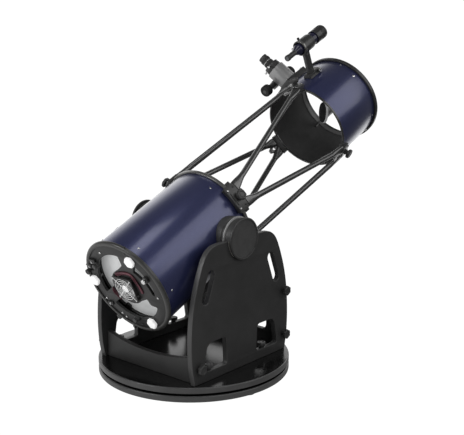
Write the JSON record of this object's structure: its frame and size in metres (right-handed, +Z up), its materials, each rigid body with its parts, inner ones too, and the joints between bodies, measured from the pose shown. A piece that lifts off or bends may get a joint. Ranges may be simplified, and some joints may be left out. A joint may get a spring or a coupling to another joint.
{
  "type": "dobsonian telescope",
  "caption": "Truss-tube reflecting telescope on a rocker-box base that turns on a round ground board, with a focuser, finder and mirror cell with a fan.",
  "frame": {"origin": "on the ground under the azimuth pivot, at the centre of the round base", "axes": "+Z up, +Y the horizontal direction the tube points in, +X along the altitude axis"},
  "size_m": [0.61, 1.2179, 1.084],
  "materials": {
    "gloss_board": "black gloss laminate on board",
    "board": "black satin laminate on board",
    "blue_paint": "dark blue metallic gloss paint",
    "casting": "black semi-gloss coat on aluminium",
    "black_plastic": "black moulded plastic, fine texture",
    "white_plastic": "white moulded plastic",
    "chrome": "bright plated steel",
    "spring_steel": "plain spring steel",
    "mirror_glass": "ground glass, aluminised on the working face",
    "rubber": "black rubber",
    "bearing_pad": "off-white low-friction plastic",
    "focuser_grey": "dark grey satin anodised"
  },
  "bodies": {
    "ground": {"foot_1": "rubber", "foot_2": "rubber", "foot_3": "rubber", "ground_board": "gloss_board", "azimuth_bearing": "bearing_pad", "pivot_bolt": "chrome"},
    "turntable": {"turntable_board": "gloss_board", "side_board_right": "board", "side_board_left": "board", "low_panel": "board", "tall_panel": "board", "cradle_pad_right": "bearing_pad", "cradle_pad_left": "bearing_pad"},
    "tube": {"collimation_spring_1": "spring_steel", "collimation_spring_2": "spring_steel", "collimation_spring_3": "spring_steel", "end_ring": "casting", "fan_frame": "black_plastic", "fan_guard": "chrome", "finder_bracket": "casting", "finder_scope": "blue_paint", "focuser_base": "casting", "focuser_body": "focuser_grey", "lower_tube": "blue_paint", "mirror_carrier": "casting", "mirror_cell": "casting", "primary_mirror": "mirror_glass", "rear_ring": "casting", "secondary_holder": "casting", "secondary_mirror": "mirror_glass", "spider": "casting", "trunnion_left": "casting", "trunnion_right": "casting", "truss_pole_1": "casting", "truss_pole_2": "casting", "truss_pole_3": "casting", "truss_pole_4": "casting", "truss_pole_5": "casting", "truss_pole_6": "casting", "truss_ring": "casting", "upper_clamp_1": "casting", "upper_clamp_2": "casting", "upper_clamp_3": "casting", "upper_tube": "blue_paint"},
    "altitude_knob_left": {"altitude_knob_left": "black_plastic"},
    "altitude_knob_right": {"altitude_knob_right": "black_plastic"},
    "collimation_knob_1": {"collimation_knob_1": "white_plastic"},
    "collimation_knob_2": {"collimation_knob_2": "white_plastic"},
    "collimation_knob_3": {"collimation_knob_3": "white_plastic"},
    "truss_knob_1": {"truss_knob_1": "black_plastic"},
    "truss_knob_2": {"truss_knob_2": "black_plastic"},
    "truss_knob_3": {"truss_knob_3": "black_plastic"},
    "truss_knob_4": {"truss_knob_4": "black_plastic"},
    "truss_knob_5": {"truss_knob_5": "black_plastic"},
    "truss_knob_6": {"truss_knob_6": "black_plastic"},
    "fan_rotor": {"fan_rotor": "black_plastic"},
    "focus_knob": {"focus_knobs": "rubber"},
    "drawtube": {"focuser_drawtube": "casting", "eyepiece": "black_plastic"}
  },
  "joints": [
    {"name": "azimuth", "type": "hinge", "parent": "ground", "child": "turntable", "pos_m": [0, 0, 0.05], "axis": [0, 0, 1], "continuous": true},
    {"name": "altitude", "type": "hinge", "parent": "turntable", "child": "tube", "pos_m": [0, 0, 0.466], "axis": [1, 0, 0], "range_deg": [-24, 66]},
    {"name": "altitude_clamp_right", "type": "hinge", "parent": "tube", "child": "altitude_knob_right", "pos_m": [0.207, 0, 0.466], "axis": [1, 0, 0], "continuous": true},
    {"name": "altitude_clamp_left", "type": "hinge", "parent": "tube", "child": "altitude_knob_left", "pos_m": [-0.207, 0, 0.466], "axis": [-1, 0, 0], "continuous": true},
    {"name": "truss_clamp_1", "type": "hinge", "parent": "tube", "child": "truss_knob_1", "pos_m": [-0.15415, 0.04602, 0.58391], "axis": [-0.866, -0.2034, 0.4568], "continuous": true},
    {"name": "truss_clamp_2", "type": "hinge", "parent": "tube", "child": "truss_knob_2", "pos_m": [0.15415, 0.04602, 0.58391], "axis": [0.866, -0.2034, 0.4568], "continuous": true},
    {"name": "truss_clamp_3", "type": "hinge", "parent": "tube", "child": "truss_knob_3", "pos_m": [0, 0.15462, 0.33999], "axis": [0, 0.4067, -0.9135], "continuous": true},
    {"name": "truss_clamp_4", "type": "hinge", "parent": "tube", "child": "truss_knob_4", "pos_m": [0, 0.51958, 0.89218], "axis": [0, -0.4067, 0.9135], "continuous": true},
    {"name": "truss_clamp_5", "type": "hinge", "parent": "tube", "child": "truss_knob_5", "pos_m": [-0.15415, 0.62818, 0.64826], "axis": [-0.866, 0.2034, -0.4568], "continuous": true},
    {"name": "truss_clamp_6", "type": "hinge", "parent": "tube", "child": "truss_knob_6", "pos_m": [0.15415, 0.62818, 0.64826], "axis": [0.866, 0.2034, -0.4568], "continuous": true},
    {"name": "collimation_1", "type": "hinge", "parent": "tube", "child": "collimation_knob_1", "pos_m": [0.06792, -0.33742, 0.43711], "axis": [0, -0.9135, -0.4067], "continuous": true},
    {"name": "collimation_2", "type": "hinge", "parent": "tube", "child": "collimation_knob_2", "pos_m": [0.06203, -0.24587, 0.23147], "axis": [0, -0.9135, -0.4067], "continuous": true},
    {"name": "collimation_3", "type": "hinge", "parent": "tube", "child": "collimation_knob_3", "pos_m": [-0.12995, -0.29372, 0.33895], "axis": [0, -0.9135, -0.4067], "continuous": true},
    {"name": "fan_spin", "type": "hinge", "parent": "tube", "child": "fan_rotor", "pos_m": [0, -0.28548, 0.3389], "axis": [0, 0.9135, 0.4067], "continuous": true},
    {"name": "focus_turn", "type": "hinge", "parent": "tube", "child": "focus_knob", "pos_m": [-0.16688, 0.6441, 0.88048], "axis": [0, -0.9135, -0.4067], "range_deg": [0, 210]},
    {"name": "focus_slide", "type": "slide", "parent": "tube", "child": "drawtube", "axis": [-0.7071, -0.2876, 0.646], "range_m": [0, 0.035]}
  ],
  "couplings": [
    {"joint": "focus_slide", "follows": "focus_turn", "m_per_rad": 0.0095}
  ]
}
